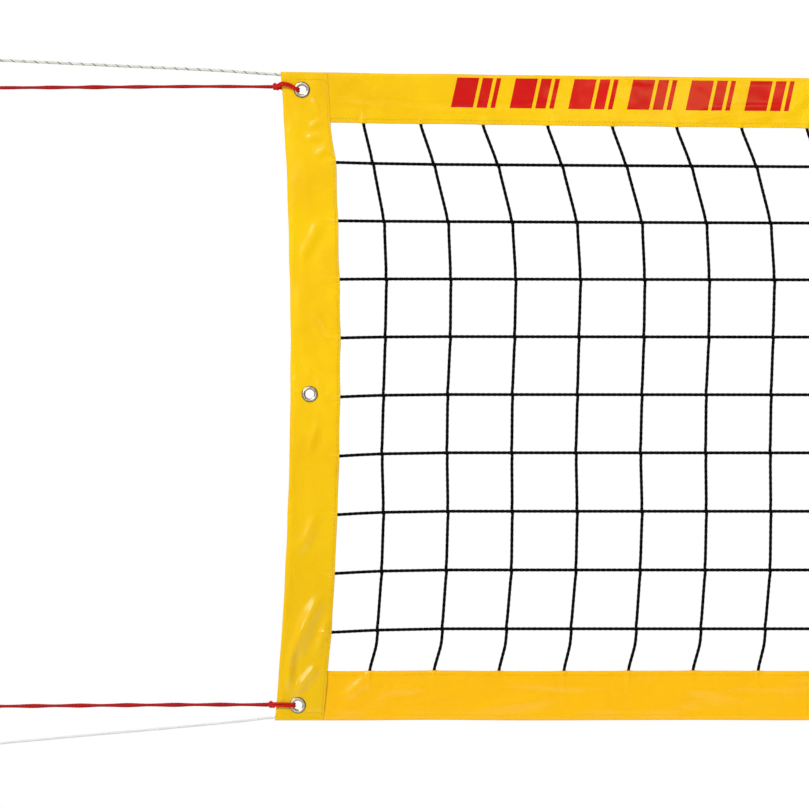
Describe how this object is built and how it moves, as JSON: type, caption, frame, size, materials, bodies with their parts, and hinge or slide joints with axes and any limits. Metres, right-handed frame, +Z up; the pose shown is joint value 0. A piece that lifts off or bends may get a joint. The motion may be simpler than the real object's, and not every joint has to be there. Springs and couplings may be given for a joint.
{
  "type": "beach volleyball net",
  "caption": "Beach volleyball net of black corded mesh in a yellow banded frame, with headline, footline and corner tie cords.",
  "frame": {"origin": "centre of the loop at the left end of the headline", "axes": "+X to the right along the net, +Z up, front of the net faces -Y"},
  "size_m": [9.5724, 0.02, 1.0972],
  "materials": {
    "pvc_band": "glossy coated sheet, wrinkled",
    "mesh_cord": "braided, knotted",
    "eyelet": "polished nickel",
    "headline": "braided, dark tracer flecks",
    "footline": "smooth braided",
    "tie_cord": "twisted braided"
  },
  "bodies": {
    "headline": {"headline_core": "headline", "headline_left_tail": "headline", "headline_right_tail": "headline", "headline_left_loop": "headline", "headline_right_loop": "headline"},
    "net": {"top_band": "pvc_band", "bottom_band": "pvc_band", "left_end_band": "pvc_band", "right_end_band": "pvc_band", "top_selvage": "mesh_cord", "bottom_selvage": "mesh_cord", "left_selvage": "mesh_cord", "right_selvage": "mesh_cord", "mesh_row_1": "mesh_cord", "mesh_row_2": "mesh_cord", "mesh_row_3": "mesh_cord", "mesh_row_4": "mesh_cord", "mesh_row_5": "mesh_cord", "mesh_row_6": "mesh_cord", "mesh_row_7": "mesh_cord", "mesh_row_8": "mesh_cord", "mesh_row_9": "mesh_cord", "mesh_columns_1": "mesh_cord", "mesh_columns_2": "mesh_cord", "mesh_columns_3": "mesh_cord", "mesh_columns_4": "mesh_cord", "eyelet_top_left": "eyelet", "eyelet_middle_left": "eyelet", "eyelet_bottom_left": "eyelet", "eyelet_top_right": "eyelet", "eyelet_middle_right": "eyelet", "eyelet_bottom_right": "eyelet", "washer_top_left": "eyelet", "washer_middle_left": "eyelet", "washer_bottom_left": "eyelet", "washer_top_right": "eyelet", "washer_middle_right": "eyelet", "washer_bottom_right": "eyelet"},
    "footline": {"footline_core": "footline", "footline_left_tail": "footline", "footline_right_tail": "footline", "footline_left_loop": "footline", "footline_right_loop": "footline"},
    "tie_top_left": {"tie_top_left_hitch": "tie_cord", "tie_top_left_line": "tie_cord", "tie_top_left_loop": "tie_cord"},
    "tie_top_right": {"tie_top_right_hitch": "tie_cord", "tie_top_right_line": "tie_cord", "tie_top_right_loop": "tie_cord"},
    "tie_bottom_left": {"tie_bottom_left_hitch": "tie_cord", "tie_bottom_left_line": "tie_cord", "tie_bottom_left_loop": "tie_cord"},
    "tie_bottom_right": {"tie_bottom_right_hitch": "tie_cord", "tie_bottom_right_line": "tie_cord", "tie_bottom_right_loop": "tie_cord"}
  },
  "joints": [
    {"name": "net_slide", "type": "slide", "parent": "headline", "child": "net", "axis": [1, 0, 0], "range_m": [-0.02, 0.02]},
    {"name": "footline_slide", "type": "slide", "parent": "net", "child": "footline", "axis": [1, 0, 0], "range_m": [-0.015, 0.015]},
    {"name": "tie_top_left_swing", "type": "hinge", "parent": "net", "child": "tie_top_left", "pos_m": [0.5524, 0, -0.0498], "axis": [0, 1, 0], "range_deg": [-15, 2]},
    {"name": "tie_top_right_swing", "type": "hinge", "parent": "net", "child": "tie_top_right", "pos_m": [8.9876, 0, -0.0498], "axis": [0, -1, 0], "range_deg": [-15, 2]},
    {"name": "tie_bottom_left_swing", "type": "hinge", "parent": "net", "child": "tie_bottom_left", "pos_m": [0.54614, 0, -0.9987], "axis": [0, 1, 0], "range_deg": [-4, 15]},
    {"name": "tie_bottom_right_swing", "type": "hinge", "parent": "net", "child": "tie_bottom_right", "pos_m": [8.99386, 0, -0.9987], "axis": [0, -1, 0], "range_deg": [-4, 15]}
  ]
}
